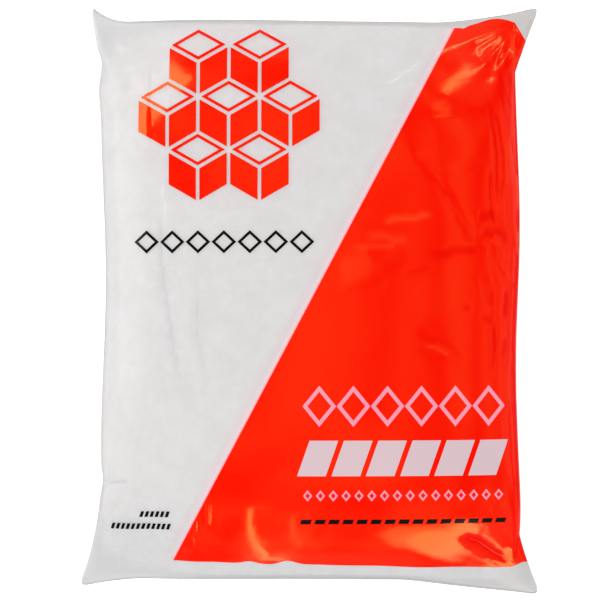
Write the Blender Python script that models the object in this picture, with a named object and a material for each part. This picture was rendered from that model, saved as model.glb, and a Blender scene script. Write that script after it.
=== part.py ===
"""One-kilogram pillow bag of white sugar, lying on its back with the printed panel up.

The pack is a tube of plastic film, filled and welded shut across both ends. The full
body is a rounded pillow with a flat patch underneath. The four corners hold no sugar,
so they stay flat and stand out as ears, and the film gathers in folds beside them.

Units are metres. +X is the pack's right, +Y its top end, +Z up. The origin is the
middle of the base.
"""

import math

import bmesh
import bpy
from mathutils import Vector

# Driving dimensions of the filled body
BODY_WIDTH = 0.1554
BODY_LENGTH = 0.2054
BODY_HEIGHT = 0.0510
SEAM_HEIGHT = 0.0250  # of the side folds and of the welds across the ends
EAR_TIP_HEIGHT = 0.0110
HALF_WIDTH = BODY_WIDTH / 2
HALF_LENGTH = BODY_LENGTH / 2

# Weld across each end: two layers of film fused into a narrow strip that droops a little
WELD_WIDTH = 0.0030
WELD_THICKNESS = 0.0006
WELD_DROOP = math.radians(40)

# How full the pillow is: larger powers give a flatter panel and steeper edges. The closings
# say how a panel meets its edge: 0.5 is round, as at the sides, and 1 is a wedge.
FRONT_POWER_ACROSS = 2.2
FRONT_POWER_ALONG = 4.0
BACK_POWER_ACROSS = 3.2
BACK_POWER_ALONG = 4.5
CLOSING_ACROSS = 0.5
CLOSING_ALONG = 0.62
BASE_PATCH_GAIN = 1.03  # presses the lowest part of the back into one flat patch

# Ears: side, end, then how far the tip stands out sideways, how far along the side that
# starts, and its bend (1 is straight, more is hollow), and the same three endways
EARS = (
    (-1, 1, (0.0048, 0.024, 0.95), (0.0060, 0.0135, 1.8)),
    (1, 1, (0.0082, 0.023, 1.0), (0.0062, 0.040, 1.5)),
    (-1, -1, (0.0094, 0.041, 1.65), (0.0033, 0.017, 1.5)),
    (1, -1, (0.0079, 0.021, 1.1), (0.0060, 0.044, 1.25)),
)
EAR_BLEND = 0.040
EAR_REACH = 0.024  # of the empty corner round each tip
EAR_FLATNESS = 0.55
TIP_RADIUS = 0.0026

# Slow waves of the outline: height, length and the place of one crest
SIDE_WAVES = {-1: (-0.0009, 0.128, 0.008), 1: (0.0007, 0.105, 0.028)}
END_WAVES = {-1: (0.0003, 0.200, 0.090), 1: (0.0005, 0.190, -0.048)}
WAVE_POWER = 4  # larger keeps the waves nearer the outline

# Short bulges and pinches of the side folds: side, y, height and half length
SIDE_BULGES = (
    (-1, 0.0845, -0.0009, 0.0035),
    (-1, 0.0750, 0.0009, 0.0070),
    (-1, -0.0660, -0.0006, 0.0040),
    (1, -0.0760, 0.0005, 0.0120),
)

# Folds that fan out of each ear: side, end, depth, distance of the deepest point from
# the body's corner, how many in a full turn, and the turn of the first
EAR_FOLDS = (
    (-1, 1, 0.0006, 0.020, 6, 0.4),
    (1, 1, 0.0012, 0.024, 9, 1.9),
    (-1, -1, 0.0006, 0.018, 6, 2.6),
    (1, -1, 0.0013, 0.022, 8, 0.9),
)

# Gathers beside the welds and puckers along the sides
GATHER_DEPTH = 0.0006
GATHER_LENGTH = 0.021
GATHER_REACH = 0.011
PUCKER_DEPTH = 0.0003
PUCKER_LENGTH = 0.017
PUCKER_REACH = 0.009

# Dents pressed into the front panel: centre x, y, half sizes, turn in degrees, depth
DENTS = (
    (0.040, 0.024, 0.034, 0.006, 12.0, 0.0007),
    (0.054, -0.012, 0.026, 0.005, -24.0, 0.0006),
    (-0.034, 0.004, 0.006, 0.050, 8.0, 0.0004),
    (0.006, -0.060, 0.030, 0.009, 6.0, 0.0005),
)

# Grid of each panel
CELLS_ACROSS = 40
CELLS_ALONG = 54
ARC_STEPS = 400
SHARP_ANGLE = math.radians(50)

FILM_COLOUR = (0.80, 0.80, 0.80, 1.0)
FILM_ROUGHNESS = 0.28
PRINT_COLOUR = (0.93, 0.020, 0.003, 1.0)
PRINT_ROUGHNESS = 0.24

# The red field covers the panel right of a line that climbs from low left to high right
FIELD_FOOT = Vector((-0.0510, -0.0975))
FIELD_HEAD = Vector((0.0575, 0.1020))
FIELD_END_MARGIN = 0.0045


def clear_scene():
    for thing in list(bpy.data.objects):
        bpy.data.objects.remove(thing)


def plastic(name, colour, roughness):
    material = bpy.data.materials.new(name)
    material.use_nodes = True
    shader = material.node_tree.nodes["Principled BSDF"]
    shader.inputs["Base Color"].default_value = colour
    shader.inputs["Roughness"].default_value = roughness
    shader.inputs["Metallic"].default_value = 0.0
    material.diffuse_color = colour
    return material


def arc_table(power, closing, rise):
    """Distance run along a pillow profile of unit reach, for positions from 0 to 1."""
    table = [(0.0, 0.0)]
    run, last = 0.0, (0.0, rise)
    for step in range(1, ARC_STEPS + 1):
        reach = math.sin(math.pi / 2 * step / ARC_STEPS)
        height = rise * max(1 - reach**power, 0.0) ** closing
        run += math.hypot(reach - last[0], height - last[1])
        last = (reach, height)
        table.append((run, reach))
    return [(distance / run, reach) for distance, reach in table]


def place_on_arc(share, table):
    """Position, from -1 to 1, of the point at this share of the film's width or length."""
    wanted = abs(share)
    for (before, low), (after, high) in zip(table, table[1:]):
        if wanted <= after:
            blend = (wanted - before) / (after - before)
            return math.copysign(low + (high - low) * blend, share)
    return math.copysign(1.0, share)


def fullness(across, along, power_across, power_along):
    """1 over the middle of a panel, falling to 0 on its outline."""
    wide = max(1 - abs(across) ** power_across, 0.0) ** CLOSING_ACROSS
    long = max(1 - abs(along) ** power_along, 0.0) ** CLOSING_ALONG
    return wide * long


def ear_reach(distance, ear_side):
    """How far an ear stands out, at this distance from its tip along one side of the bag."""
    out, start, bend = ear_side
    return out * max(1 - distance / start, 0.0) ** bend


def ear_offset(x, y):
    """How far the ears pull a point out sideways and endways, and how near it is to a tip."""
    shift_x = shift_y = nearness = 0.0
    for side, end, sideways, endways in EARS:
        from_side = max(HALF_WIDTH - side * x, 0.0)
        from_end = max(HALF_LENGTH - end * y, 0.0)
        shift_x += side * ear_reach(from_end, sideways) * math.exp(-((from_side / EAR_BLEND) ** 2))
        shift_y += end * ear_reach(from_side, endways) * math.exp(-((from_end / EAR_BLEND) ** 2))
        nearness += math.exp(-(from_side**2 + from_end**2) / EAR_REACH**2)
    return shift_x, shift_y, nearness


def outline_offset(x, y):
    """Slow waves, bulges and pinches that carry the outline in and out."""
    side, end = math.copysign(1, x), math.copysign(1, y)
    near_side = abs(x / HALF_WIDTH) ** WAVE_POWER
    near_end = abs(y / HALF_LENGTH) ** WAVE_POWER
    height, length, crest = SIDE_WAVES[side]
    shift_x = side * height * math.cos(math.tau * (y - crest) / length) * near_side
    for bulge_side, middle, bulge, half_length in SIDE_BULGES:
        if bulge_side == side:
            shift_x += side * bulge * math.exp(-(((y - middle) / half_length) ** 2)) * near_side**2
    height, length, crest = END_WAVES[end]
    shift_y = end * height * math.cos(math.tau * (x - crest) / length) * near_end
    return shift_x, shift_y


def round_tip(x, y, past_end):
    """Moves a point near an ear's tip inwards, so that the tip is rounded."""
    into_x = TIP_RADIUS - (HALF_WIDTH - abs(x))
    into_y = TIP_RADIUS - (HALF_LENGTH - abs(y) + (1 - past_end) * WELD_WIDTH)
    if into_x <= 0 or into_y <= 0:
        return x, y
    pull = 1 - max(into_x, into_y) / math.hypot(into_x, into_y)
    return x - math.copysign(into_x * pull, x), y - math.copysign(into_y * pull, y)


def panel_point(across, along, past_end, front):
    """A point of the smooth pillow, from its place on the panel in -1 to 1 each way.

    past_end is 1 on the cut edge of a weld strip, else 0.
    """
    x, y = HALF_WIDTH * across, HALF_LENGTH * along
    ear_x, ear_y, nearness = ear_offset(x, y)
    wave_x, wave_y = outline_offset(x, y)
    seam = SEAM_HEIGHT - (SEAM_HEIGHT - EAR_TIP_HEIGHT) * nearness
    emptied = 1 - EAR_FLATNESS * nearness
    if front:
        full = fullness(across, along, FRONT_POWER_ACROSS, FRONT_POWER_ALONG) * emptied
        z = seam + (BODY_HEIGHT - seam) * full
    else:
        full = fullness(across, along, BACK_POWER_ACROSS, BACK_POWER_ALONG) * emptied
        z = seam * (1 - min(full * BASE_PATCH_GAIN, 1.0))
    x, y = round_tip(x, y, past_end)
    strip = math.copysign(past_end * WELD_WIDTH, along)
    return Vector((
        x + ear_x + wave_x,
        y + ear_y + wave_y + strip * math.cos(WELD_DROOP),
        z - past_end * WELD_WIDTH * math.sin(WELD_DROOP),
    ))


def ear_folds(x, y):
    """Folds that fan out of the ears, as ripples round each corner of the body."""
    relief = 0.0
    for side, end, depth, reach, count, turn in EAR_FOLDS:
        away_x, away_y = HALF_WIDTH - side * x, HALF_LENGTH - end * y
        distance = math.hypot(away_x, away_y)
        strength = distance / reach * math.exp(1 - distance / reach)
        angle = math.atan2(away_y, away_x)
        relief += depth * strength**2 * math.cos(count * angle + turn)
    return relief


def edge_waves(position, length):
    """Uneven waves: two lengths that never fall into step."""
    fine = math.cos(math.tau * position / length)
    slow = math.cos(math.tau * position / (length * 1.618) + 1.0)
    return fine * (0.5 + 0.5 * slow)


def edge_folds(x, y):
    """Gathers along the welds and puckers along the sides."""
    from_end = max(HALF_LENGTH - abs(y), 0.0)
    from_side = max(HALF_WIDTH - abs(x), 0.0)
    gathers = GATHER_DEPTH * edge_waves(x + 0.3 * abs(y), GATHER_LENGTH)
    puckers = PUCKER_DEPTH * edge_waves(y + 0.2 * x, PUCKER_LENGTH)
    return gathers * math.exp(-from_end / GATHER_REACH) + puckers * math.exp(-from_side / PUCKER_REACH)


def dents(x, y):
    """Shallow dents that the sugar leaves under the front panel."""
    relief = 0.0
    for centre_x, centre_y, half_x, half_y, turn, depth in DENTS:
        c, s = math.cos(math.radians(turn)), math.sin(math.radians(turn))
        dx, dy = x - centre_x, y - centre_y
        run, rise = (c * dx + s * dy) / half_x, (c * dy - s * dx) / half_y
        relief -= depth * math.exp(-(run * run + rise * rise))
    return relief


def add_panel(bm, front):
    """One panel of film as a grid, shaped into half of the pillow, with a weld strip at each end.

    Returns each vertex with its shares, from -1 to 1, and with 1 on a cut edge, else 0. Both
    panels take their grid from the front's profile, so that they meet point for point.
    """
    rows = CELLS_ALONG + 2
    made = bmesh.ops.create_grid(bm, x_segments=CELLS_ACROSS, y_segments=rows, size=1.0)
    rise = BODY_HEIGHT - SEAM_HEIGHT
    across_table = arc_table(FRONT_POWER_ACROSS, CLOSING_ACROSS, rise / HALF_WIDTH)
    along_table = arc_table(FRONT_POWER_ALONG, CLOSING_ALONG, rise / HALF_LENGTH)
    half_weld = Vector((0, 0, WELD_THICKNESS / 2 if front else -WELD_THICKNESS / 2))
    panel = []
    for vertex in made["verts"]:
        share_x, share_y = vertex.co.x, vertex.co.y * rows / CELLS_ALONG
        past_end = 1 if abs(share_y) > 1 + 1e-6 else 0
        share_y = max(-1.0, min(1.0, share_y))
        across = place_on_arc(share_x, across_table)
        along = place_on_arc(share_y, along_table)
        vertex.co = panel_point(across, along, past_end, front)
        if is_edge(share_y):
            vertex.co += half_weld
        panel.append((vertex, share_x, share_y, past_end))
    if not front:
        faces = {face for vertex, *_ in panel for face in vertex.link_faces}
        bmesh.ops.reverse_faces(bm, faces=list(faces))
    return panel


def is_edge(share):
    return abs(share) > 1 - 1e-6


def add_relief(bm, panel, front):
    """Pushes the folds and dents into a panel, along its normals."""
    bm.normal_update()
    moves = []
    for vertex, share_x, share_y, _ in panel:
        if is_edge(share_x) or is_edge(share_y):
            continue
        x, y, z = vertex.co
        relief = ear_folds(x, y) + edge_folds(x, y)
        if front:
            relief += dents(x, y)
        else:
            relief *= min(z / SEAM_HEIGHT, 1.0)
        moves.append((vertex, vertex.normal * relief))
    for vertex, move in moves:
        vertex.co += move


def cut_edge(bm, panel, end):
    """The edges along the outside of a panel's weld strip."""
    outer = {vertex for vertex, _, share_y, past_end in panel if past_end and share_y * end > 0}
    return [edge for edge in bm.edges if all(vertex in outer for vertex in edge.verts)]


def close_welds(bm, front, back):
    """Joins the cut edges of the two layers, then closes the small gaps at the ear tips."""
    for end in (-1, 1):
        bmesh.ops.bridge_loops(bm, edges=cut_edge(bm, front, end) + cut_edge(bm, back, end))
    rims = [edge for edge in bm.edges if edge.is_boundary]
    bmesh.ops.holes_fill(bm, edges=rims, sides=8)


def merge_sides(bm, panels):
    """The tube has no seam at its sides, so there the panels share their vertices."""
    side_vertices = [vertex for panel in panels for vertex, share_x, share_y, _ in panel
                     if is_edge(share_x) and not is_edge(share_y)]
    bmesh.ops.remove_doubles(bm, verts=side_vertices, dist=1e-5)


def flatten_base(bm):
    """Makes one face of the patch that lies on the table."""
    patch = [face for face in bm.faces if all(abs(vertex.co.z) < 1e-7 for vertex in face.verts)]
    bmesh.ops.dissolve_faces(bm, faces=patch)


def centre_on_base(bm):
    xs = [vertex.co.x for vertex in bm.verts]
    ys = [vertex.co.y for vertex in bm.verts]
    zs = [vertex.co.z for vertex in bm.verts]
    middle = Vector(((min(xs) + max(xs)) / 2, (min(ys) + max(ys)) / 2, min(zs)))
    bmesh.ops.translate(bm, verts=bm.verts, vec=-middle)


def paint_field(mesh, red_index):
    """Gives the red material to the front faces right of the field's sloping edge."""
    slope = FIELD_HEAD - FIELD_FOOT
    for face in mesh.polygons:
        centre = face.center
        offset = Vector((centre.x, centre.y)) - FIELD_FOOT
        right_of_edge = slope.x * offset.y - slope.y * offset.x < 0
        clear_of_welds = abs(centre.y) < HALF_LENGTH - FIELD_END_MARGIN
        on_front = face.normal.z > 0 or centre.z > SEAM_HEIGHT
        if right_of_edge and clear_of_welds and on_front:
            face.material_index = red_index


def build_bag():
    bm = bmesh.new()
    front = add_panel(bm, front=True)
    back = add_panel(bm, front=False)
    add_relief(bm, front, front=True)
    add_relief(bm, back, front=False)
    merge_sides(bm, (front, back))
    close_welds(bm, front, back)
    flatten_base(bm)
    centre_on_base(bm)
    bmesh.ops.recalc_face_normals(bm, faces=bm.faces)
    mesh = bpy.data.meshes.new("sugar_bag")
    bm.to_mesh(mesh)
    bm.free()
    mesh.materials.append(plastic("clear_film", FILM_COLOUR, FILM_ROUGHNESS))
    mesh.materials.append(plastic("red_print", PRINT_COLOUR, PRINT_ROUGHNESS))
    paint_field(mesh, red_index=1)
    mesh.shade_smooth()
    mesh.set_sharp_from_angle(angle=SHARP_ANGLE)
    bag = bpy.data.objects.new("sugar_bag", mesh)
    bpy.context.collection.objects.link(bag)
    return bag


def main():
    clear_scene()
    build_bag()


main()
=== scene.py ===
"""Looks of the one-kilogram pillow bag of white sugar: printed film, the sugar in it, and the studio.

The bag lies on its back. +X is its right, +Y its top end, +Z up, in metres.
"""

import math

import bpy
import numpy as np
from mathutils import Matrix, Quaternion, Vector, kdtree, noise


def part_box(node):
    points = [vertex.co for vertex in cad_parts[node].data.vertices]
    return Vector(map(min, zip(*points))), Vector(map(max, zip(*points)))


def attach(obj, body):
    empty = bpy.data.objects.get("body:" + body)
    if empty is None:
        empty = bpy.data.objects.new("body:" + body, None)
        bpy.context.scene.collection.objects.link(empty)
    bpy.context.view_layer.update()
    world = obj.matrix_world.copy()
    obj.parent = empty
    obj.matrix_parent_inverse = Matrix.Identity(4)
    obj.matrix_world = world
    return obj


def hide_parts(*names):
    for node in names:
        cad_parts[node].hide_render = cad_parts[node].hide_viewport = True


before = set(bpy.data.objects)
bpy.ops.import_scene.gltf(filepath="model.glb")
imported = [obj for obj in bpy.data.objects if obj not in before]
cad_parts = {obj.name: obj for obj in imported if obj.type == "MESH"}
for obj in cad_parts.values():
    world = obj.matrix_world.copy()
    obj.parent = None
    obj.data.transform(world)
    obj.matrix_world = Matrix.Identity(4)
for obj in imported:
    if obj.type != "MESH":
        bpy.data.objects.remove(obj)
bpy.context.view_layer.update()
BAG_LOW, BAG_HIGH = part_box("sugar_bag")
MM = 0.001

# ---------------------------------------------------------------- form of the filled bag

HALF_WIDTH = 77.7 * MM
HALF_LENGTH = 104.2 * MM
HEIGHT = BAG_HIGH.z
SEAM_HEIGHT = 25.0 * MM
EAR_TIP_HEIGHT = 11.0 * MM
WELD_WIDTH = 3.0 * MM
WELD_THICKNESS = 0.24 * MM
WELD_DROOP = math.radians(75)
FRONT_POWERS = (2.2, 4.0)  # across and along; larger is fuller
BACK_POWERS = (3.2, 4.5)
CLOSINGS = (0.5, 0.62)  # how a panel meets its edge: 0.5 is round, 1 is a wedge
BASE_PATCH_GAIN = 1.03

# Ears: side, end, then how far the tip stands out sideways, how far along the side that
# starts, and its bend (1 is straight, more is hollow), and the same three endways
EARS = (
    (-1, 1, (5.5 * MM, 24 * MM, 0.95), (6.7 * MM, 12.5 * MM, 2.2)),
    (1, 1, (9.0 * MM, 23 * MM, 1.0), (6.7 * MM, 32 * MM, 1.75)),
    (-1, -1, (10.6 * MM, 41 * MM, 1.75), (3.6 * MM, 17 * MM, 1.5)),
    (1, -1, (9.2 * MM, 21 * MM, 1.1), (6.5 * MM, 44 * MM, 1.3)),
)
EAR_BLENDS = (15 * MM, 40 * MM)  # how far in the sideways and the endways pull reach
EAR_REACH = 24 * MM  # of the empty corner round each tip
EAR_FLATNESS = 0.55
TIP_RADIUS = 3.5 * MM

# Slow waves of the outline: height, length and the place of one crest
SIDE_WAVES = {-1: (-0.9 * MM, 128 * MM, 8 * MM), 1: (0.7 * MM, 105 * MM, 28 * MM)}
END_WAVES = {-1: (0.3 * MM, 200 * MM, 90 * MM), 1: (0.5 * MM, 190 * MM, -48 * MM)}
WAVE_POWER = 4  # larger keeps the waves nearer the outline

# Short bulges and pinches of the side folds: side, y, height and half length
SIDE_BULGES = (
    (-1, 84.5 * MM, -0.9 * MM, 3.5 * MM),
    (-1, 75 * MM, 0.9 * MM, 7 * MM),
    (-1, -66 * MM, -0.6 * MM, 4 * MM),
    (1, -76 * MM, 0.5 * MM, 12 * MM),
)

# Grid of one panel of film, in cells. The cells are smaller towards the edges, where the
# creases are, and smallest on the right. The last rows are the weld strips.
FILM_LEFT, FILM_RIGHT = 85, 108
FILM_ACROSS = FILM_LEFT + FILM_RIGHT
FILM_ALONG = 246
WELD_ROWS = 3
CROWDING_LEFT, CROWDING_RIGHT, CROWDING_ENDS = 1.2, 2.4, 1.6

# Gap between the panels over which the sugar thins out and ends
FILL_FROM = 1.5 * MM
FILL_TO = 9.0 * MM


def arc_table(power, closing, rise, steps=4001):
    """Share of the arc run along a pillow profile, and the reach at each share."""
    angle = np.linspace(0, math.pi / 2, steps)
    reach = np.sin(angle)
    height = rise * np.maximum(1 - reach**power, 0) ** closing
    run = np.concatenate([[0], np.cumsum(np.hypot(np.diff(reach), np.diff(height)))])
    return run / run[-1], reach


def place_on_arc(share, power, closing, rise):
    run, reach = arc_table(power, closing, rise)
    return np.sign(share) * np.interp(np.abs(share), run, reach)


def fullness(across, along, powers):
    """1 over the middle of a panel, falling to 0 on its outline."""
    wide = np.maximum(1 - np.abs(across) ** powers[0], 0) ** CLOSINGS[0]
    long = np.maximum(1 - np.abs(along) ** powers[1], 0) ** CLOSINGS[1]
    return wide * long


def ear_reach(distance, ear_side):
    """How far an ear stands out, at this distance from its tip along one side of the bag."""
    out, start, bend = ear_side
    return out * np.maximum(1 - distance / start, 0) ** bend


def ear_offset(x, y):
    """How far the ears pull points out sideways and endways, and how near they are to a tip."""
    shift_x, shift_y, nearness = np.zeros_like(x), np.zeros_like(x), np.zeros_like(x)
    for side, end, sideways, endways in EARS:
        from_side = np.maximum(HALF_WIDTH - side * x, 0)
        from_end = np.maximum(HALF_LENGTH - end * y, 0)
        shift_x += side * ear_reach(from_end, sideways) * np.exp(-((from_side / EAR_BLENDS[0]) ** 2))
        shift_y += end * ear_reach(from_side, endways) * np.exp(-((from_end / EAR_BLENDS[1]) ** 2))
        nearness += np.exp(-(from_side**2 + from_end**2) / EAR_REACH**2)
    return shift_x, shift_y, nearness


def outline_offset(x, y):
    """Slow waves, bulges and pinches that carry the outline in and out."""
    shift_x, shift_y = np.zeros_like(x), np.zeros_like(x)
    for way in (-1, 1):
        near_side = np.maximum(way * x / HALF_WIDTH, 0) ** WAVE_POWER
        near_end = np.maximum(way * y / HALF_LENGTH, 0) ** WAVE_POWER
        height, length, crest = SIDE_WAVES[way]
        shift_x += way * height * np.cos(math.tau * (y - crest) / length) * near_side
        height, length, crest = END_WAVES[way]
        shift_y += way * height * np.cos(math.tau * (x - crest) / length) * near_end
    for side, middle, bulge, half_length in SIDE_BULGES:
        near_side = np.maximum(side * x / HALF_WIDTH, 0) ** (2 * WAVE_POWER)
        shift_x += side * bulge * np.exp(-(((y - middle) / half_length) ** 2)) * near_side
    return shift_x, shift_y


def round_tips(x, y):
    """Moves the points near the ears' tips inwards, so that the tips are rounded."""
    into_x = TIP_RADIUS - (HALF_WIDTH - np.abs(x))
    into_y = TIP_RADIUS - (HALF_LENGTH - np.abs(y))
    reach = np.maximum(np.hypot(into_x, into_y), 1e-9)
    pull = np.where((into_x > 0) & (into_y > 0), 1 - np.maximum(into_x, into_y) / reach, 0)
    return x - np.sign(x) * into_x * pull, y - np.sign(y) * into_y * pull


def pillow(share_x, share_y, front):
    """Points of the smooth pillow from their places on the panel, in -1 to 1 each way.

    A share_y from 1 to 2 is on the weld strip, which droops out from the end.
    """
    rise = HEIGHT - SEAM_HEIGHT
    past_end = np.maximum(np.abs(share_y) - 1, 0)
    strip = np.sign(share_y) * past_end * WELD_WIDTH
    share_y = np.clip(share_y, -1, 1)
    x = HALF_WIDTH * place_on_arc(share_x, FRONT_POWERS[0], CLOSINGS[0], rise / HALF_WIDTH)
    y = HALF_LENGTH * place_on_arc(share_y, FRONT_POWERS[1], CLOSINGS[1], rise / HALF_LENGTH)
    ear_x, ear_y, nearness = ear_offset(x, y)
    wave_x, wave_y = outline_offset(x, y)
    seam = SEAM_HEIGHT - (SEAM_HEIGHT - EAR_TIP_HEIGHT) * nearness
    full = fullness(x / HALF_WIDTH, y / HALF_LENGTH, FRONT_POWERS if front else BACK_POWERS)
    full = full * (1 - EAR_FLATNESS * nearness)
    if front:
        z = seam + (HEIGHT - seam) * full
    else:
        z = seam * (1 - np.minimum(full * BASE_PATCH_GAIN, 1))
    x, y = round_tips(x, y)
    x = x + ear_x + wave_x
    y = y + ear_y + wave_y + strip * math.cos(WELD_DROOP)
    return np.stack([x, y, z - np.abs(strip) * math.sin(WELD_DROOP)], -1)


def centring():
    """Shift from the pillow's own middle to the middle of the modelled part."""
    edge = np.linspace(-1, 1, 201)
    sides = [pillow(np.full_like(edge, side), edge, True) for side in (-1, 1)]
    ends = [pillow(edge, np.full_like(edge, end * 2.0), True) for end in (-1, 1)]
    outline = np.concatenate(sides + ends)
    middle = (outline.min(0) + outline.max(0)) / 2
    part = (BAG_LOW + BAG_HIGH) / 2
    return np.array([part.x - middle[0], part.y - middle[1], 0.0])


SHIFT = centring()

# ---------------------------------------------------------------- creases in the film

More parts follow.
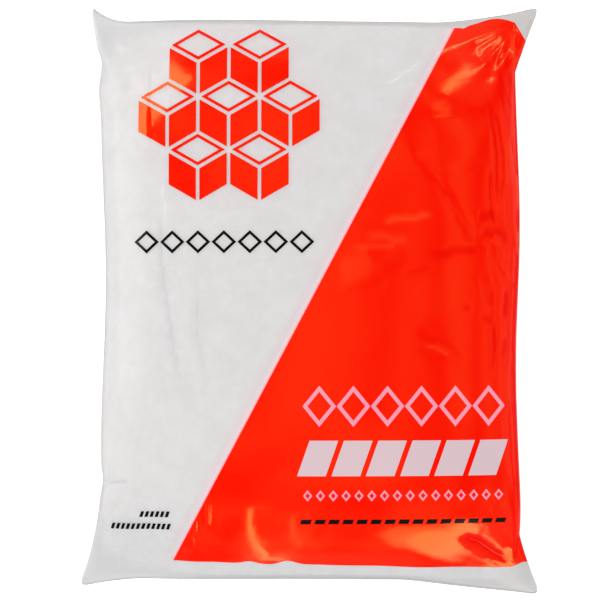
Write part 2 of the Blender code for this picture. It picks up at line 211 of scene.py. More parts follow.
# Each crease: points it runs through (mm from the middle), half width, height (minus is a
# valley, 0 shows in the painted tone alone), how sharp it is (1 a knife edge, 2 a soft ridge, 4 a flat
# patch), and the tone painted on the film there: painted shade is darker (minus) and painted sheen
# paler (plus)
CREASES = (
    # the rounded edge below the upper right ear, and the folds that break it
    (((80, 84), (78, 94), (75, 102), (70, 107)), 5.0, 0.15, 2, 0),
    (((54, 89.5), (57.8, 93), (61.5, 97.5)), 2.3, 0.09, 2, 0),
    (((61.5, 101), (62.5, 96), (64, 89.5)), 0.9, -0.03, 1, -0.3),
    (((63.5, 93), (65, 90), (66.5, 87)), 0.9, 0.12, 1, 0),
    (((67.5, 101), (66.2, 95), (66, 87)), 1.0, 0, 1, -0.3),
    (((71, 102), (69.4, 95), (69.4, 88)), 0.9, 0, 1, -0.3),
    (((74.5, 103), (72.6, 97.5), (71.4, 90)), 1.0, 0, 1, -0.3),
    (((77, 105), (77, 90), (78, 85)), 1.2, 0.35, 1, 0),
    (((76, 103), (76.2, 94), (77, 84)), 1.0, 0, 2, 0.6),
    # long folds that hang from it down the right side
    (((69.4, 97), (70.3, 87.2), (72.6, 77.8), (77.8, 66.5)), 0.9, 0, 1, -0.7),
    (((73, 98), (74.1, 85.9), (78, 72.5)), 0.9, 0, 1, -0.7),
    (((71.6, 92), (72.6, 84), (76, 74)), 0.9, 0, 1, 0.3),
    (((70.4, 81), (72.6, 69.6), (77.6, 61)), 0.9, -0.15, 1, -0.6),
    (((66, 79), (66.9, 69.6), (69.2, 56.4), (69.4, 42.4), (70.3, 31)), 1.0, -0.25, 1, -0.6),
    (((66.9, 75), (69.6, 66.2), (71.6, 57), (72.2, 46.3), (70.6, 33)), 1.0, -0.25, 1, -0.6),
    (((74, 62), (73.5, 51), (74, 40)), 2.0, 0.20, 2, 0.4),
    (((75, 62), (75.6, 56.4), (78.2, 45.5)), 0.9, -0.25, 1, -0.6),
    (((66.6, 50), (66.9, 38.4), (69, 27.5)), 1.0, -0.30, 1, -0.6),
    (((68, 44), (68.2, 37), (70.2, 29)), 0.8, 0.20, 1, 0.4),
    # the crossing of folds at mid height
    (((37, 57), (38.9, 54.9), (48.7, 41.6), (54.9, 32.2), (62.5, 18.5)), 1.2, -0.25, 1.2, -0.35),
    (((50, 43), (56, 32.5), (62, 22)), 1.1, -0.12, 1.2, -0.25),
    (((42.5, 16.3), (50, 18), (65, 18.3)), 1.9, -0.14, 4, -0.6),
    (((34, 9), (40, 11.5), (46.5, 13)), 1.5, -0.10, 4, -0.45),
    (((62, 32), (69.5, 31.5)), 1.8, -0.25, 2, -0.65),
    (((62, 25.4), (70, 26.4), (73.5, 24), (74, 19)), 2.1, -0.30, 2, -0.65),
    (((62, 23.5), (65.5, 19.5)), 0.9, -0.20, 1, -0.4),
    (((64.5, 23.4), (69.5, 22), (72, 20.6)), 0.9, 0.25, 1, 0.4),
    (((66.8, 22), (69.8, 12.7), (77.4, 2)), 1.1, -0.30, 1.2, -0.5),
    (((70, 16), (71.5, 11.5), (77.5, 4.5)), 1.1, 0.25, 1.2, 0.5),
    (((56.5, -2.8), (60, -3)), 1.0, -0.12, 2, -0.7),
    (((63.5, -5.8), (68, -7.8)), 1.2, -0.12, 2, -0.6),
    (((74, 5), (73.6, -1), (72.8, -8)), 1.7, -0.30, 2, -0.8),
    (((64, 12), (65, 5), (67, -3)), 2.1, -0.12, 4, -0.35),
    (((68, -9), (68.5, -18), (68, -28)), 1.6, -0.20, 2, -0.4),
    (((67, 9), (68, -2), (68.4, -12), (69.6, -24)), 0.9, -0.20, 1, -0.4),
    (((73.5, -12), (72, -22)), 1.5, -0.20, 2, -0.6),
    (((74.5, -22), (73.5, -32), (75.5, -42)), 1.4, 0.20, 2, 0.3),
    (((77.2, 48), (78, 42), (78.2, 32)), 1.6, 0.30, 2, 0.8),
    (((77, 27), (77.6, 22), (77.6, 17)), 1.4, 0.30, 2, 0.8),
    # wide shallow facets of the red panel
    (((25, 29), (36, 30.2), (43, 31.2), (47, 32.6)), 1.5, 0.12, 2, 0.7),
    (((20, 24.6), (29, 23.4), (38, 21.4)), 1.7, 0.10, 2, 0.5),
    (((14, 20.4), (24, 19.4), (34, 19.6)), 1.4, 0.10, 2, 0.45),
    (((17, 26.6), (28, 26.4), (41, 27)), 1.8, -0.12, 2, -0.2),
    (((10, 9), (16, 11.5), (25, 14.5)), 6.0, 0.15, 4, 0.4),
    (((22, 2), (24, 7), (31, 14), (40, 20)), 3.2, -0.12, 4, -0.3),
    (((38, -10.5), (49.3, -16), (58.5, -23.5)), 1.5, -0.20, 2, -0.4),
    (((38, -17.6), (50.3, -21.8), (58, -24.8)), 1.3, -0.16, 2, -0.35),
    (((42.5, -15.6), (52, -20.8)), 1.2, 0.16, 2, 0.6),
    (((36, -2), (46, 1), (56, 8)), 8.0, 0.10, 4, 0.2),
    (((50, 72), (52, 60), (58, 46)), 9.0, 0.20, 4, 0.2),
    (((38, 74), (40, 64), (44, 54)), 5.0, -0.15, 4, -0.15),
    # soft creases of the upper middle
    (((27, 78), (35, 84.5), (44, 90)), 1.2, 0.15, 1, 0.6),
    (((0, 102), (5, 97), (11, 91)), 3.0, 0.30, 2, 0),
    (((34, 84), (28, 78), (24, 70)), 3.0, -0.20, 2, 0),
    # soft creases down the left side
    (((-61, 89.5), (-60.5, 79), (-60.5, 67.5), (-60.5, 57)), 1.5, 0.45, 1.2, 0),
    (((-59.5, 89.5), (-60, 75), (-58.5, 58)), 0.9, -0.25, 1, -0.4),
    (((-52, 78), (-52, 72)), 0.9, 0.30, 1, 0),
    (((-54.5, 46), (-54, 36), (-53, 25)), 1.2, 0.12, 1.4, 0.55),
    (((-68, 89), (-68, 85)), 0.8, 0.25, 1, 0),
    (((-56, 40), (-55, 16), (-54, 6), (-51, -14), (-49, -27), (-46, -37)), 1.5, -0.30, 1.2, -0.6),
    (((-41, 14), (-42, -12), (-39, -27), (-37, -36)), 1.5, -0.20, 1.4, -0.4),
    (((-44, 12), (-45, -12), (-42, -28), (-40, -38)), 2.0, 0.20, 1.6, 0.3),
    (((-70, 94), (-71, 80), (-71, 60)), 3.0, 0.35, 2, 0),
    (((-78, -67), (-73, -68), (-66, -67.5)), 1.1, -0.50, 1, -0.6),
    (((-74, -92), (-66, -84), (-60, -70)), 3.0, 0.30, 2, 0),
    # folds at the foot
    (((-38.4, -68), (-38.5, -77), (-39, -86)), 1.3, 0.38, 1.4, 0),
    (((-42.6, -79), (-43.6, -87), (-45.2, -95)), 1.3, 0.55, 1.4, 0),
    (((-22, -72), (-22, -86), (-19.5, -92.5), (-13, -99)), 3.0, 0.05, 2, 0),
    (((-7.5, -76), (-6, -86), (-2, -96)), 3.0, 0.05, 2, 0),
    # the ear at the lower right: a deep fold into it, with flat facets beside
    (((55, -88), (62.4, -89.2), (66.6, -92.6), (71.1, -95.8), (76, -100)), 1.8, -0.50, 1.4, -0.9),
    (((76, -91), (76.5, -99)), 2.0, 0.30, 1.4, 0),
    (((78, -88), (77.5, -98)), 1.2, -0.40, 1, -0.5),
    (((66, -96), (69.5, -97), (75.5, -100)), 1.1, 0.20, 1, 0),
    (((70.5, -75), (67.5, -78.5)), 1.0, -0.15, 1, -0.4),
)
CREASE_REACH = 4  # half widths from a crease to where its relief ends
CREASE_TAPER = 0.22  # share of a crease's length over which each end fades

# Fans of fine folds that run out of each ear: side, end, depth, count, turn
EAR_FANS = (
    (-1, 1, 0.14, 8, 0.4),
    (1, 1, 0.07, 13, 1.9),
    (-1, -1, 0.16, 8, 2.6),
    (1, -1, 0.05, 12, 0.9),
)
EAR_FAN_REACH = 17 * MM

# Soft quilting all over the film, and crinkles that are strongest at its folds and welds
QUILT_SCALE = 24 * MM
QUILT_DEPTH = 0.12 * MM
CRINKLE_SCALE = 6 * MM
CRINKLE_DEPTH = 0.05 * MM
CRINKLE_REACH = 9 * MM
CALM_EDGE = 3 * MM  # over which all relief fades out at the folds and welds


def rounded_run(points, spacing=2.0):
    """A crease's points with more put between them on a smooth curve, and the share run at each."""
    points = np.array(points, float) * MM
    knots = np.concatenate([[0], np.cumsum(np.linalg.norm(np.diff(points, axis=0), axis=1))])
    count = max(int(knots[-1] / (spacing * MM)), 4)
    run = np.linspace(0, knots[-1], count + 1)
    straight = np.stack([np.interp(run, knots, points[:, axis]) for axis in (0, 1)], -1)
    for _ in range(4):
        straight[1:-1] = (straight[:-2] + 2 * straight[1:-1] + straight[2:]) / 4
    return straight, run / run[-1]


def crease_relief(surface):
    """Height that the creases give to each point of the front panel, and the shade and sheen painted
    there.
    """
    tree = kdtree.KDTree(len(surface))
    for index, (x, y, _) in enumerate(surface):
        tree.insert((x, y, 0), index)
    tree.balance()
    relief, shade = np.zeros(len(surface)), np.zeros(len(surface))
    for points, half_width, height, sharpness, painted_tone in CREASES:
        run, share = rounded_run(points)
        lifted = np.array([surface[tree.find((x, y, 0))[1]] for x, y in run])
        half_width = half_width * MM
        reach = half_width * CREASE_REACH
        near = np.all((surface > lifted.min(0) - reach) & (surface < lifted.max(0) + reach), axis=1)
        spots = surface[near]
        best, where = np.full(len(spots), np.inf), np.zeros(len(spots))
        for start, end, share_a, share_b in zip(lifted[:-1], lifted[1:], share[:-1], share[1:]):
            along = end - start
            offset = spots - start
            reach_along = np.clip(offset @ along / max(along @ along, 1e-12), 0, 1)
            distance = np.linalg.norm(offset - reach_along[:, None] * along, axis=1)
            closer = distance < best
            best = np.where(closer, distance, best)
            where = np.where(closer, share_a + (share_b - share_a) * reach_along, where)
        fade = np.clip(np.minimum(where, 1 - where) / CREASE_TAPER, 0, 1)
        fade = fade * fade * (3 - 2 * fade)
        profile = fade * np.exp(-((best / half_width) ** sharpness))
        relief[near] += height * MM * profile
        # painted shade (minus) and painted sheen (plus) along each crease
        shade[near] += painted_tone * profile
    return relief, shade


def ear_fans(x, y):
    relief = np.zeros_like(x)
    for side, end, depth, count, turn in EAR_FANS:
        away_x, away_y = HALF_WIDTH - side * x, HALF_LENGTH - end * y
        distance = np.hypot(away_x, away_y)
        strength = distance / EAR_FAN_REACH * np.exp(1 - distance / EAR_FAN_REACH)
        angle = np.arctan2(away_y, away_x)
        wave = np.cos(count * angle + turn) + 0.5 * np.cos(1.7 * count * angle + 2.3 * turn)
        relief += depth * MM * strength**3 * wave
    return relief


def waves(points, scale, seed):
    """Smooth noise of that wavelength at each point."""
    offset = Vector((seed, 1.7 * seed, 0.3 * seed))
    return np.array([noise.noise(Vector(point) / scale + offset) for point in points])


def wrinkled(share_x, share_y, front, only_valleys=False):
    """Points of the film with its creases, for a whole panel given as a grid of shares.

    With them comes the tone painted at each: painted shade is minus and painted sheen plus.
    """
    shape = share_x.shape
    smooth = pillow(share_x, share_y, front)
    across = np.gradient(smooth, axis=0)
    along = np.gradient(smooth, axis=1)
    normal = np.cross(across, along)
    normal /= np.maximum(np.linalg.norm(normal, axis=-1, keepdims=True), 1e-12)
    if not front:
        normal = -normal
    smooth = smooth + SHIFT
    flat = smooth.reshape(-1, 3)
    x, y, z = (smooth[..., axis] for axis in range(3))
    from_end = (1 - np.abs(share_y)) * HALF_LENGTH
    from_side = (1 - np.abs(share_x)) * HALF_WIDTH
    quilt = waves(flat, QUILT_SCALE, 3.1 if front else 8.3).reshape(shape)
    crinkle = 1 - 2 * np.abs(waves(flat * (1, 0.6, 1), CRINKLE_SCALE, 5.7)).reshape(shape)
    edge = np.exp(-np.maximum(from_end, 0) / CRINKLE_REACH) + np.exp(-from_side / CRINKLE_REACH)
    relief = QUILT_DEPTH * quilt + CRINKLE_DEPTH * crinkle * np.minimum(edge, 1) + ear_fans(x, y)
    shade = np.zeros(shape)
    if front:
        creases, shade = (values.reshape(shape) for values in crease_relief(flat))
        relief += creases
    else:
        relief *= np.clip(z / SEAM_HEIGHT, 0, 1)
    if only_valleys:
        relief = np.minimum(relief, 0)
    loose = np.clip(from_end / CALM_EDGE, 0, 1) * np.clip(from_side / CALM_EDGE, 0, 1)
    loose = loose * loose * (3 - 2 * loose)
    return smooth + normal * (relief * loose)[..., None], shade


# ---------------------------------------------------------------- film


def deselect_all():
    if bpy.context.object and bpy.context.object.mode != "OBJECT":
        bpy.ops.object.mode_set(mode="OBJECT")
    bpy.ops.object.select_all(action="DESELECT")


def activate(thing):
    deselect_all()
    thing.select_set(True)
    bpy.context.view_layer.objects.active = thing


def panel_grid(name, cells_across, cells_along):
    """A flat grid of film, and where each vertex is in it, as row and column numbers."""
    deselect_all()
    bpy.ops.mesh.primitive_grid_add(x_subdivisions=cells_across, y_subdivisions=cells_along, size=2)
    grid = bpy.context.object
    grid.name = grid.data.name = name
    flat = np.empty(len(grid.data.vertices) * 3)
    grid.data.vertices.foreach_get("co", flat)
    flat = flat.reshape(-1, 3)
    column = np.rint((flat[:, 0] + 1) / 2 * cells_across).astype(int)
    row = np.rint((flat[:, 1] + 1) / 2 * cells_along).astype(int)
    return grid, column, row


def crowded(cells, crowding):
    """Steps from 0 to 1 that grow shorter towards 1."""
    fine = np.linspace(0, 1, 2001)
    density = 1 + crowding * fine**3
    count = np.concatenate([[0], np.cumsum((density[1:] + density[:-1]) / 2)])
    return np.interp(np.linspace(0, 1, cells + 1), count / count[-1], fine)


def film_shares():
    """Shares across and along for the film's grid, with the weld strips past 1."""
    left, right = crowded(FILM_LEFT, CROWDING_LEFT), crowded(FILM_RIGHT, CROWDING_RIGHT)
    across = np.concatenate([-left[::-1], right[1:]])
    half = crowded(FILM_ALONG // 2 - WELD_ROWS, CROWDING_ENDS)
    body = np.concatenate([-half[::-1], half[1:]])
    strip = 1 + np.arange(1, WELD_ROWS + 1) / WELD_ROWS
    along = np.concatenate([-strip[::-1], body, strip])
    return np.meshgrid(across, along, indexing="ij")


def weld_split(share_y, front):
    """Half the thickness of the weld strip, which the two layers share. It closes at the cut edge."""
    on_strip = (np.abs(share_y) > 1 - 1e-6) & (np.abs(share_y) < 2 - 1e-6)
    return np.where(on_strip, WELD_THICKNESS / 2 if front else -WELD_THICKNESS / 2, 0.0)


def filled_share(share_x, share_y):
    """1 where sugar lies behind the film, falling to 0 in the ears and the weld strips."""
    gap = (pillow(share_x, share_y, True) - pillow(share_x, share_y, False))[..., 2]
    share = np.clip((gap - FILL_FROM) / (FILL_TO - FILL_FROM), 0, 1)
    return share * share * (3 - 2 * share) * (np.abs(share_y) < 1)


def film_panel(name, front):
    share_x, share_y = film_shares()
    points, shade = wrinkled(share_x, share_y, front)
    inside = np.abs(share_x) < 1 - 1e-6
    points[..., 2] += weld_split(share_y, front) * inside
    plan = (pillow(share_x, share_y, front) + SHIFT)[..., :2]
    panel, column, row = panel_grid(name, FILM_ACROSS, FILM_ALONG)
    panel.data.vertices.foreach_set("co", points[column, row].ravel())
    if front:
        print_x = plan[..., 0]
    else:
        side = np.where(share_x >= 0, 1.0, -1.0)
        print_x = side * 2 * HALF_WIDTH - plan[..., 0]
    add_print_map(panel, column, row, print_x, plan[..., 1], front)
    for attribute, values in (("fill", filled_share(share_x, share_y)), ("shade", shade)):
        layer = panel.data.attributes.new(attribute, "FLOAT", "POINT")
        layer.data.foreach_set("value", values[column, row])
    if not front:
        activate(panel)
        bpy.ops.object.mode_set(mode="EDIT")
        bpy.ops.mesh.select_all(action="SELECT")
        bpy.ops.mesh.flip_normals()
        bpy.ops.object.mode_set(mode="OBJECT")
    return panel


def add_print_map(panel, column, row, print_x, print_y, front):
    """UV map in metres that runs round the tube of film, so that print wraps onto the back."""
    mesh = panel.data
    corner = np.empty(len(mesh.loops), int)
    mesh.loops.foreach_get("vertex_index", corner)
    across, along = print_x[column, row][corner], print_y[column, row][corner]
    if not front:
        # the back's middle column belongs to both halves: each face takes its own side
        face_column = np.repeat(column[corner].reshape(-1, 4).mean(1), 4)
        right = face_column > FILM_LEFT
        middle = column[corner] == FILM_LEFT
        across = np.where(middle, np.where(right, 2, -2) * HALF_WIDTH, across)
    layer = mesh.uv_layers[0] if mesh.uv_layers else mesh.uv_layers.new()
    layer.name = "print"
    layer.data.foreach_set("uv", np.stack([across, along], -1).ravel())


def make_film():
    front = film_panel("film", front=True)
    back = film_panel("film_back", front=False)
    activate(front)
    back.select_set(True)
    bpy.ops.object.join()
    bpy.ops.object.mode_set(mode="EDIT")
    bpy.ops.mesh.select_all(action="SELECT")
    bpy.ops.mesh.remove_doubles(threshold=0.005 * MM)
    bpy.ops.mesh.normals_make_consistent(inside=False)
    bpy.ops.object.mode_set(mode="OBJECT")
    bpy.ops.object.shade_smooth()
    return front


# ---------------------------------------------------------------- sugar

SUGAR_ACROSS = 120
SUGAR_ALONG = 160
SUGAR_REACH = (0.992, 0.988)  # share of the film's panel that sugar fills, across and along
SUGAR_CORNER_CUT = 0.07
SUGAR_GAP = 0.55 * MM  # between the sugar and the film


def make_sugar():
    """The sugar: a closed heap a little inside the film, rounded off short of the ears."""
    across = np.linspace(-1, 1, SUGAR_ACROSS + 1)
    along = np.linspace(-1, 1, SUGAR_ALONG + 1)
    s, t = np.meshgrid(across, along, indexing="ij")
    share_x = SUGAR_REACH[0] * s * (1 - SUGAR_CORNER_CUT * t**6)
    share_y = SUGAR_REACH[1] * t * (1 - SUGAR_CORNER_CUT * s**6)
    upper, _ = wrinkled(share_x, share_y, True, only_valleys=True)
    lower, _ = wrinkled(share_x, share_y, False, only_valleys=True)
    between = lower - upper
    depth = np.linalg.norm(between, axis=-1, keepdims=True)
    step = between / np.maximum(depth, 1e-9) * np.minimum(SUGAR_GAP, depth * 0.3)
    halves = []
    for name, points in (("sugar", upper + step), ("sugar_back", lower - step)):
        half, column, row = panel_grid(name, SUGAR_ACROSS, SUGAR_ALONG)
        half.data.vertices.foreach_set("co", points[column, row].ravel())
        halves.append(half)
    activate(halves[1])
    bpy.ops.object.mode_set(mode="EDIT")
    bpy.ops.mesh.select_all(action="SELECT")
    bpy.ops.mesh.flip_normals()
    bpy.ops.object.mode_set(mode="OBJECT")
    activate(halves[0])
    halves[1].select_set(True)
    bpy.ops.object.join()
    bpy.ops.object.mode_set(mode="EDIT")
    bpy.ops.mesh.select_mode(type="EDGE")
    bpy.ops.mesh.select_all(action="DESELECT")
    bpy.ops.mesh.select_non_manifold()
    bpy.ops.mesh.bridge_edge_loops()
    bpy.ops.mesh.select_all(action="SELECT")
    bpy.ops.mesh.normals_make_consistent(inside=False)
    bpy.ops.object.mode_set(mode="OBJECT")
    bpy.ops.object.shade_smooth()
    return halves[0]


# ---------------------------------------------------------------- materials


class Nodes:
    """Short ways to add nodes to one material."""

    def __init__(self, name):
        self.material = bpy.data.materials.new(name)
        self.material.use_nodes = True
        self.tree = self.material.node_tree
        self.shader = self.tree.nodes["Principled BSDF"]

    def add(self, kind, **settings):
        node = self.tree.nodes.new(kind)
        for key, value in settings.items():
            setattr(node, key, value)
        return node

    def plug(self, socket, value):
        if isinstance(value, bpy.types.NodeSocket):
            self.tree.links.new(value, socket)
        else:
            socket.default_value = value

    def math(self, operation, *values):
        node = self.add("ShaderNodeMath", operation=operation)
        for socket, value in zip(node.inputs, values):
            self.plug(socket, value)
        return node.outputs[0]

    def total(self, *values):
        result = values[0]
        for value in values[1:]:
            result = self.math("ADD", result, value)
        return result

    def product(self, *values):
        result = values[0]
        for value in values[1:]:
            result = self.math("MULTIPLY", result, value)
        return result

    def most(self, *values):
        result = values[0]
        for value in values[1:]:
            result = self.math("MAXIMUM", result, value)
        return result

    def within(self, value, low, high):
        """1 where value is between low and high, else 0."""
        over, under = self.math("GREATER_THAN", value, low), self.math("LESS_THAN", value, high)
        return self.math("MULTIPLY", over, under)

    def ramp(self, value, low, high, to_low=0.0, to_high=1.0, smooth=True):
        node = self.add("ShaderNodeMapRange", interpolation_type="SMOOTHSTEP" if smooth else "LINEAR")
        for socket, setting in zip(node.inputs, (value, low, high, to_low, to_high)):
            self.plug(socket, setting)
        return node.outputs[0]

    def blend(self, share, colour_a, colour_b):
        node = self.add("ShaderNodeMix", data_type="RGBA")
        self.plug(node.inputs[0], share)
        self.plug(node.inputs[6], colour_a)
        self.plug(node.inputs[7], colour_b)
        return node.outputs[2]

    def noise(self, vector, scale, detail=2.0, roughness=0.5, kind="FBM"):
        node = self.add("ShaderNodeTexNoise", noise_type=kind)
        self.plug(node.inputs["Vector"], vector)
        node.inputs["Scale"].default_value = scale
        node.inputs["Detail"].default_value = detail
        node.inputs["Roughness"].default_value = roughness
        return node.outputs["Fac"]

    def bump(self, height, distance, normal=None):
        node = self.add("ShaderNodeBump")
        node.inputs["Distance"].default_value = distance
        self.plug(node.inputs["Height"], height)
        if normal:
            self.plug(node.inputs["Normal"], normal)
        return node.outputs[0]


RED = (1.0, 0.005, 0.0005, 1)
# painted shade: the red darkened where folds and creases shade it
PAINTED_SHADE_RED = (0.88, 0.0, 0.0, 1)
# painted sheen: the red paler on facets that catch the light
PAINTED_SHEEN_RED = (1.0, 0.05, 0.01, 1)
BLACK = (0.006, 0.006, 0.005, 1)
PINK = (0.93, 0.34, 0.46, 1)
PALE_PINK = (0.72, 0.55, 0.60, 1)
WHITE_HAZE = (0.86, 0.84, 0.835, 1)  # clear film with sugar against it
PAINTED_RED_LIGHT_HAZE = (0.93, 0.76, 0.79, 1)  # the same with painted red light beside red print, which the ink passes into the sugar
INK_RIM = (1.0, 0.44, 0.48, 1)  # where the ink of the field runs out
SHADED_HAZE = (0.66, 0.66, 0.67, 1)  # painted shade on clear film, in creases and towards the foot
EMPTY_HAZE_WITH_SIDE_SHADE = ((0.76, 0.755, 0.76, 1), (0.66, 0.635, 0.615, 1))  # film on film, left and right; the right is darker and warmer by painted shade and painted red light
PAINTED_GLINT_HAZE = (1.0, 1.0, 1.0, 1)  # painted highlight: clear film where a crease catches the light
SUGAR_COLOURS = ((0.72, 0.715, 0.71, 1), (0.84, 0.84, 0.845, 1))
SUGAR_GRAIN_SCALE = 1400.0
SUGAR_CLUMP_SCALE = 120.0
SUGAR_GRAIN_HEIGHT = 0.25 * MM
SUGAR_ROUGHNESS = 0.6
GLOSS_ON_CLEAR = (0.25, 0.25, 0.25, 1)
GLOSS_ON_RED = (1.0, 0.80, 0.14, 1)
# gloss dulled where shade is painted in the folds
GLOSS_IN_FOLDS = (0.25, 0.08, 0.01, 1)
GLOSS_ON_BLACK = (0.12, 0.12, 0.12, 1)
FILLED_ALPHA = (0.455, 0.565)  # least and most, where sugar lies behind the film
TOUCH_SCALE = 75.0  # of the patches where the sugar lies close to it
EMPTY_ALPHA = 0.85  # in the ears and the weld strips
ROSE_ALPHA = 0.85  # right beside the red field
FILM_ROUGHNESS = (0.08, 0.12)
FILM_ROUGHNESS_SCALE = 90.0
FILM_IOR = 1.45
FILM_BUMPS = ((1300.0, 1.0, 0.012), (260.0, 3.0, 0.02), (70.0, 2.0, 0.10))  # scale, detail, mm

# Red field, in mm: a line from low left to high right, and two ends that climb or fall evenly
FIELD_FOOT = (-51.1, -97.3)
FIELD_HEAD = (54.3, 102.2)
FIELD_BOTTOM = (-98.5, -0.024)  # height over the middle, and its slope
FIELD_TOP = (102.4, 0.0)

# Waves of the field's ends: depth, length, turn. The film is drawn up towards the ears, so
# the ends bulge there: place, height, half length. Past the corner they fall steeply.
BOTTOM_WAVES = ((0.12, 27.0, 1.2),)
BOTTOM_BULGES = ((-36.0, 0.3, 5.0), (-22.3, 0.8, 3.2), (-8.2, 1.5, 4.0), (20.0, 0.2, 9.0))
TOP_WAVES = ((0.25, 19.0, 0.0),)
TOP_BULGES = ((71.0, 4.2, 8.5), (57.8, -0.6, 1.3))
TOP_CORNER = (77.5, -1.4)
BOTTOM_CORNER = (76.3, 0.45)
CORNER_REACH = 4.0

# Row of marks: middle of the first, pitch, count, half width, half height, line thickness (0 is solid)
BLACK_CHAIN = (-60.5, 21.7, 9.6, 7, 4.6, 4.3, 1.05)
PINK_CHAIN = (3.5, -39.0, 12.6, 6, 6.2, 7.6, 1.35)
PALE_ROW = (2.9, -58.3, 12.7, 6, 5.3, 6.6, 0)
DASH_ROW = (-0.8, -72.2, 4.75, 16, 1.75, 2.1, 0.62)
BLACK_DASHES = (-1.4, -82.0, 5.2, 15, 1.9, 0.85, 0)
TILE_SLANT = 0.35
DIAMOND_LINE_GAIN = 1.35  # how much thicker a diamond's line is along its axes than across itself
STAMP_ROWS = ((-62.5, -79.5, 1.9, 6, 0.6, 1.1, 0), (-73.5, -84.2, 1.9, 12, 0.6, 1.1, 0))

# Emblem: a honeycomb of seven cubes in parallel perspective, as in a tumbling blocks quilt
EMBLEM_MIDDLE = (-30.0, 69.0)
EMBLEM_EDGE = 13.2
EMBLEM_GAP = 0.055  # round each face, as a share of its edge
EMBLEM_LINE = 0.10  # of the outlined upper faces
HALO_WIDTH = 7.0  # over which the painted red light beside red print fades
EMBLEM_HALO = 0.35  # how strong it is round the emblem
HALO_FOOT = (-99.5, -94.5)  # heights between which it fades at the foot
RIM_WIDTH = 0.6  # to each side of the field's sloping edge
FOOT_HAZE = (-60.0, -98.5, 0.5)  # heights from and to, and how strongly painted shade darkens the clear foot


def mark_row(n, x, y, row, slant=None):
    """Mask of marks evenly spaced along x: diamonds, or solid tiles where a slant is given."""
    first_x, middle_y, pitch, _, half_x, half_y, line = (value * MM for value in row)
    count = row[3]
    local_y = n.math("SUBTRACT", y, middle_y)
    run = n.math("SUBTRACT", x, first_x)
    if slant is not None:
        run = n.math("MULTIPLY_ADD", local_y, -slant, run)
    place = n.math("DIVIDE", run, pitch)
    number = n.math("ROUND", place)
    in_row = n.within(number, -0.5, count - 0.5)
    local_x = n.math("MULTIPLY", n.math("SUBTRACT", place, number), pitch)
    reach_x = n.math("DIVIDE", n.math("ABSOLUTE", local_x), half_x)
    reach_y = n.math("DIVIDE", n.math("ABSOLUTE", local_y), half_y)
    shape = n.most(reach_x, reach_y) if slant is not None else n.total(reach_x, reach_y)
    inner = 1 - line / min(half_x, half_y) * DIAMOND_LINE_GAIN if line else -1.0
    return n.math("MULTIPLY", in_row, n.within(shape, inner, 1.0))


def cube_faces(n, x, y, along, up, outlined):
    """Mask of the seven cubes' faces that are spanned by these two directions."""
    (ax, ay), (bx, by) = along, up
    det = (ax * by - ay * bx) * EMBLEM_EDGE * MM
    i = n.total(n.math("MULTIPLY", x, by / det), n.math("MULTIPLY", y, -bx / det))
    j = n.total(n.math("MULTIPLY", x, -ay / det), n.math("MULTIPLY", y, ax / det))
    cell_i, cell_j = n.math("FLOOR", i), n.math("FLOOR", j)
    # one face in three belongs to a cube of this row, and the cubes end a ring from the middle
    phase = n.math("WRAP", n.total(cell_i, cell_j), 2.5, -0.5)
    apart = n.math("ABSOLUTE", n.math("SUBTRACT", cell_i, cell_j))
    ring = n.most(apart, n.math("ABSOLUTE", cell_i), n.math("ABSOLUTE", cell_j))
    in_row = n.math("LESS_THAN", n.math("ABSOLUTE", phase), 0.5)
    mask = n.math("MULTIPLY", in_row, n.math("LESS_THAN", ring, 2.5))
    rims = []
    for share, cell in ((i, cell_i), (j, cell_j)):
        inside = n.math("SUBTRACT", share, cell)
        rims.append(n.math("MINIMUM", inside, n.math("SUBTRACT", 1.0, inside)))
    rim = n.math("MINIMUM", *rims)
    inner = EMBLEM_GAP + EMBLEM_LINE if outlined else 1.0
    return n.math("MULTIPLY", mask, n.within(rim, EMBLEM_GAP, inner))


def emblem(n, x, y):
    local_x = n.math("SUBTRACT", x, EMBLEM_MIDDLE[0] * MM)
    local_y = n.math("SUBTRACT", y, EMBLEM_MIDDLE[1] * MM)
    wide, half = math.cos(math.radians(30)), 0.5
    left = cube_faces(n, local_x, local_y, (-wide, half), (0, -1), False)
    right = cube_faces(n, local_x, local_y, (wide, half), (0, -1), False)
    top = cube_faces(n, local_x, local_y, (-wide, half), (wide, half), True)
    return n.most(left, right, top)


def field_end(n, x, line, waves, bulges, corner):
    """Height of one end of the red field, over each place across the film."""
    height, slope = line
    parts = [n.math("MULTIPLY_ADD", x, slope, height * MM)]
    for depth, length, turn in waves:
        angle = n.math("MULTIPLY_ADD", x, math.tau / (length * MM), turn)
        parts.append(n.math("MULTIPLY", n.math("SINE", angle), depth * MM))
    for place, rise, half_length in bulges:
        away = n.math("DIVIDE", n.math("SUBTRACT", x, place * MM), half_length * MM)
        fall = n.math("POWER", math.e, n.math("MULTIPLY", n.math("MULTIPLY", away, away), -1.0))
        parts.append(n.math("MULTIPLY", fall, rise * MM))
    start, steepness = corner
    past = n.math("MAXIMUM", n.math("SUBTRACT", x, start * MM), 0.0)
    parts.append(n.math("MULTIPLY", n.math("MINIMUM", past, CORNER_REACH * MM), steepness))
    return n.total(*parts)


def red_field(n, x, y):
    """Masks of the red field and of its sloping rim, and how far right of that a place lies."""
    foot, head = Vector(FIELD_FOOT) * MM, Vector(FIELD_HEAD) * MM
    slope = (head - foot).normalized()
    beyond = n.total(
        n.math("MULTIPLY", n.math("SUBTRACT", x, foot.x), slope.y),
        n.math("MULTIPLY", n.math("SUBTRACT", y, foot.y), -slope.x),
    )
    bottom = field_end(n, x, FIELD_BOTTOM, BOTTOM_WAVES, BOTTOM_BULGES, BOTTOM_CORNER)
    top = field_end(n, x, FIELD_TOP, TOP_WAVES, TOP_BULGES, TOP_CORNER)
    between_ends = n.product(n.math("GREATER_THAN", y, bottom), n.math("LESS_THAN", y, top))
    field = n.product(n.math("GREATER_THAN", beyond, 0.0), between_ends)
    rim = n.product(n.within(beyond, -RIM_WIDTH * MM, RIM_WIDTH * MM), between_ends)
    return field, rim, beyond


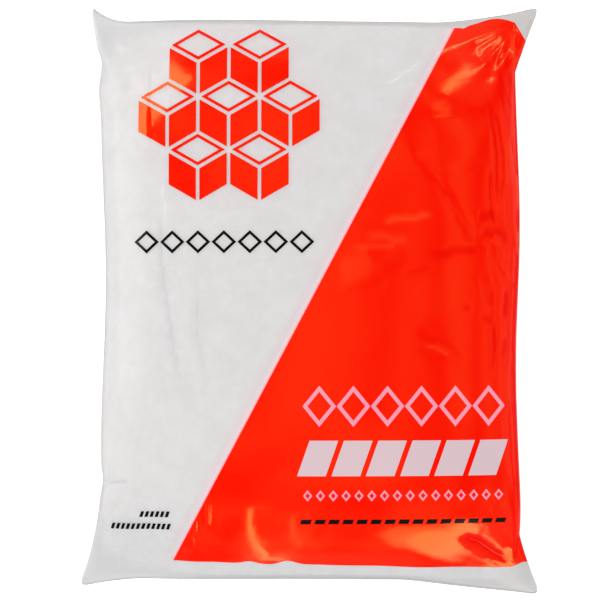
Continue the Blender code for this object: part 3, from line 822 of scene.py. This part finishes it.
def emblem_halo(n, x, y):
    """1 on a disc about the emblem, fading out a little way outside it."""
    local_x = n.math("SUBTRACT", x, EMBLEM_MIDDLE[0] * MM)
    local_y = n.math("SUBTRACT", y, EMBLEM_MIDDLE[1] * MM)
    squares = [n.math("MULTIPLY", side, side) for side in (local_x, local_y)]
    away = n.math("SQRT", n.total(*squares))
    reach = 2.5 * EMBLEM_EDGE * MM
    return n.ramp(away, reach + HALO_WIDTH * MM, reach)


def film_material():
    n = Nodes("printed_film")
    uv = n.add("ShaderNodeUVMap", uv_map="print").outputs[0]
    split = n.add("ShaderNodeSeparateXYZ")
    n.plug(split.inputs[0], uv)
    x, y = split.outputs[0], split.outputs[1]
    field, rim, beyond = red_field(n, x, y)
    red = n.most(field, emblem(n, x, y))
    pink = n.most(mark_row(n, x, y, PINK_CHAIN), mark_row(n, x, y, DASH_ROW))
    pale = mark_row(n, x, y, PALE_ROW, TILE_SLANT)
    black = n.most(
        mark_row(n, x, y, BLACK_CHAIN),
        mark_row(n, x, y, BLACK_DASHES, TILE_SLANT),
        *(mark_row(n, x, y, row, TILE_SLANT) for row in STAMP_ROWS),
    )
    place = n.add("ShaderNodeTexCoord").outputs["Object"]
    fill = n.add("ShaderNodeAttribute", attribute_name="fill").outputs["Fac"]
    shade = n.add("ShaderNodeAttribute", attribute_name="shade").outputs["Fac"]
    # painted shade (minus) and painted sheen (plus), from the tone along the creases
    painted_shade, painted_sheen = n.ramp(shade, 0.0, -1.0), n.ramp(shade, 0.0, 1.0)
    # painted red light: a rose tint on the clear film beside the red field and round the emblem
    above_foot = n.ramp(y, HALO_FOOT[0] * MM, HALO_FOOT[1] * MM)
    near_field = n.product(n.ramp(beyond, -HALO_WIDTH * MM, 0.0), fill, above_foot)
    halo = n.most(near_field, n.math("MULTIPLY", emblem_halo(n, x, y), EMBLEM_HALO))
    # painted side shade: the empty film darker and warmer towards the right
    empty = n.blend(n.ramp(x, -HALF_WIDTH, HALF_WIDTH), *EMPTY_HAZE_WITH_SIDE_SHADE)
    haze = n.blend(fill, empty, n.blend(halo, WHITE_HAZE, PAINTED_RED_LIGHT_HAZE))
    # painted shade: the clear film darker towards the foot and in the creases
    at_foot = n.ramp(y, FOOT_HAZE[0] * MM, FOOT_HAZE[1] * MM, 0.0, FOOT_HAZE[2])
    haze = n.blend(n.most(painted_shade, at_foot), haze, SHADED_HAZE)
    # painted highlight: clear film made whiter where a crease catches the light
    haze = n.blend(n.math("MULTIPLY", painted_sheen, fill), haze, PAINTED_GLINT_HAZE)
    haze = n.blend(rim, haze, INK_RIM)
    # red print darkened by painted shade and lightened by painted sheen
    print_red = n.blend(painted_sheen, n.blend(painted_shade, RED, PAINTED_SHADE_RED), PAINTED_SHEEN_RED)
    colour = n.blend(red, haze, print_red)
    colour = n.blend(pink, colour, PINK)
    colour = n.blend(pale, colour, PALE_PINK)
    colour = n.blend(black, colour, BLACK)
    ink = n.most(red, black)
    touching = n.ramp(n.noise(place, TOUCH_SCALE, detail=3.0), 0.35, 0.7, *FILLED_ALPHA)
    clear = n.total(n.math("MULTIPLY", fill, n.math("SUBTRACT", touching, EMPTY_ALPHA)), EMPTY_ALPHA)
    n.plug(n.shader.inputs["Base Color"], colour)
    rose_alpha = n.math("MULTIPLY", near_field, ROSE_ALPHA)
    n.plug(n.shader.inputs["Alpha"], n.most(ink, clear, painted_sheen, rim, rose_alpha))
    # gloss dulled where shade is painted, so painted folds stay dark under the softboxes
    gloss_on_red = n.blend(painted_shade, GLOSS_ON_RED, GLOSS_IN_FOLDS)
    gloss = n.blend(black, n.blend(red, GLOSS_ON_CLEAR, gloss_on_red), GLOSS_ON_BLACK)
    n.plug(n.shader.inputs["Specular Tint"], gloss)
    smears = n.noise(place, FILM_ROUGHNESS_SCALE)
    n.plug(n.shader.inputs["Roughness"], n.ramp(smears, 0.3, 0.7, *FILM_ROUGHNESS))
    n.shader.inputs["IOR"].default_value = FILM_IOR
    normal = None
    for scale, detail, height in FILM_BUMPS:
        normal = n.bump(n.noise(place, scale, detail=detail), height * MM, normal)
    n.plug(n.shader.inputs["Normal"], normal)
    return n.material


def sugar_material():
    n = Nodes("white_sugar")
    place = n.add("ShaderNodeTexCoord").outputs["Object"]
    grain = n.noise(place, SUGAR_GRAIN_SCALE, detail=1.0)
    clump = n.noise(place, SUGAR_CLUMP_SCALE, detail=3.0)
    mottle = n.total(n.math("MULTIPLY", grain, 0.6), n.math("MULTIPLY", clump, 0.4))
    n.plug(n.shader.inputs["Base Color"], n.blend(n.ramp(mottle, 0.35, 0.65), *SUGAR_COLOURS))
    n.shader.inputs["Roughness"].default_value = SUGAR_ROUGHNESS
    n.plug(n.shader.inputs["Normal"], n.bump(grain, SUGAR_GRAIN_HEIGHT))
    return n.material


# ---------------------------------------------------------------- studio

CAMERA_DISTANCE = 1.5
VIEW_SIDE = 0.225  # of the square that the camera sees at the seam's height
VIEW_MIDDLE = (-3.6 * MM, 0.2 * MM)
SENSOR = 36.0
LIGHT_DISTANCE = 1.0

# Softboxes: shape, azimuth from +X, fall from straight above and roll in degrees, size across
# and up, brightness
SOFTBOXES = (
    ("upper_right_strip", "RECTANGLE", 49.8, 65.5, 0, (0.026, 0.44), 8.5),
    ("upper_right_edge", "RECTANGLE", 57.0, 80, -12, (0.03, 0.25), 8.0),
    ("upper_right_tail", "ELLIPSE", 46, 43, 0, (0.06, 0.24), 1.2),
    ("foot_strip", "RECTANGLE", -96.9, 60, 11.7, (0.045, 0.91), 8.5),
    ("foot_fill", "ELLIPSE", -91.2, 54, 4, (0.035, 0.56), 2.2),
    ("lower_right_softbox", "ELLIPSE", -60.5, 67, -48, (0.54, 0.29), 3.2),
    ("lower_right_fill", "ELLIPSE", -62.2, 65, -51, (0.66, 0.38), 2.4),
    ("left_softbox", "RECTANGLE", 155, 66, 0, (0.95, 0.62), 6.0),
)
WORLD_BRIGHTNESS = 1.03
WORLD_SLOPE = (-0.20, -0.04, 0.0)  # the light is stronger from the left and from the foot
ROOM_SCALE = 3.5
ROOM_RANGE = (0.35, 0.65, 0.0, 0.6)  # noise from and to, and how bright the room looks in the gloss
FLOOR_SIZE = 6.0
FLOOR_GLOW = 0.85
FLOOR_SHADE = 0.35
FLOOR_ROUGHNESS = 0.8


def make_floor():
    deselect_all()
    bpy.ops.mesh.primitive_plane_add(size=FLOOR_SIZE)
    floor = bpy.context.object
    floor.name = "floor"
    n = Nodes("pale_floor")
    n.shader.inputs["Base Color"].default_value = (FLOOR_SHADE,) * 3 + (1,)
    n.shader.inputs["Roughness"].default_value = FLOOR_ROUGHNESS
    n.shader.inputs["Emission Color"].default_value = (1, 1, 1, 1)
    n.shader.inputs["Emission Strength"].default_value = FLOOR_GLOW
    floor.data.materials.append(n.material)
    floor.visible_glossy = False


def softbox(name, shape, azimuth, fall, roll, size, brightness):
    """A lit panel a metre from the bag, which shows only in the gloss of what it lights."""
    turn, drop = math.radians(azimuth), math.radians(fall)
    away = Vector((math.sin(drop) * math.cos(turn), math.sin(drop) * math.sin(turn), math.cos(drop)))
    lamp = bpy.data.lights.new(name, "AREA")
    lamp.shape = shape
    lamp.size, lamp.size_y = size
    lamp.energy = brightness * math.pi * size[0] * size[1]
    light = bpy.data.objects.new(name, lamp)
    light.location = away * LIGHT_DISTANCE
    facing = (-away).to_track_quat("-Z", "Y")
    light.rotation_euler = (facing @ Quaternion((0, 0, 1), math.radians(roll))).to_euler()
    light.visible_diffuse = False
    light.visible_transmission = False
    bpy.context.scene.collection.objects.link(light)


def make_studio():
    make_floor()
    for settings in SOFTBOXES:
        softbox(*settings)
    world = bpy.data.worlds.new("studio")
    world.use_nodes = True
    tree = world.node_tree
    background = tree.nodes["Background"]
    background.inputs["Color"].default_value = (1, 1, 1, 1)
    sky = tree.nodes.new("ShaderNodeTexCoord")
    slope = tree.nodes.new("ShaderNodeVectorMath")
    slope.operation = "DOT_PRODUCT"
    slope.inputs[1].default_value = WORLD_SLOPE
    shade = tree.nodes.new("ShaderNodeMath")
    shade.operation = "ADD"
    shade.inputs[1].default_value = WORLD_BRIGHTNESS
    path = tree.nodes.new("ShaderNodeLightPath")
    room = tree.nodes.new("ShaderNodeTexNoise")
    room.inputs["Scale"].default_value = ROOM_SCALE
    room.inputs["Detail"].default_value = 1.0
    gloss = tree.nodes.new("ShaderNodeMapRange")
    for socket, value in zip(gloss.inputs[1:5], ROOM_RANGE):
        socket.default_value = value
    strength = tree.nodes.new("ShaderNodeMapRange")
    tree.links.new(sky.outputs["Generated"], room.inputs["Vector"])
    tree.links.new(room.outputs["Fac"], gloss.inputs["Value"])
    tree.links.new(gloss.outputs[0], strength.inputs["To Max"])
    tree.links.new(sky.outputs["Generated"], slope.inputs[0])
    tree.links.new(slope.outputs["Value"], shade.inputs[0])
    tree.links.new(path.outputs["Is Glossy Ray"], strength.inputs["Value"])
    tree.links.new(shade.outputs[0], strength.inputs["To Min"])
    tree.links.new(strength.outputs[0], background.inputs["Strength"])
    bpy.context.scene.world = world
    camera = bpy.data.objects.new("camera", bpy.data.cameras.new("camera"))
    camera.data.sensor_width = SENSOR
    camera.data.lens = SENSOR * CAMERA_DISTANCE / VIEW_SIDE
    camera.location = (*VIEW_MIDDLE, SEAM_HEIGHT + CAMERA_DISTANCE)
    bpy.context.scene.collection.objects.link(camera)
    bpy.context.scene.camera = camera
    bpy.context.scene.view_settings.view_transform = "Standard"


film = make_film()
film.data.materials.clear()
film.data.materials.append(film_material())
sugar = make_sugar()
sugar.data.materials.clear()
sugar.data.materials.append(sugar_material())
make_studio()

for piece, finish in ((film, "film"), (sugar, "sugar")):
    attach(piece, "root")
    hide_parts("sugar_bag")
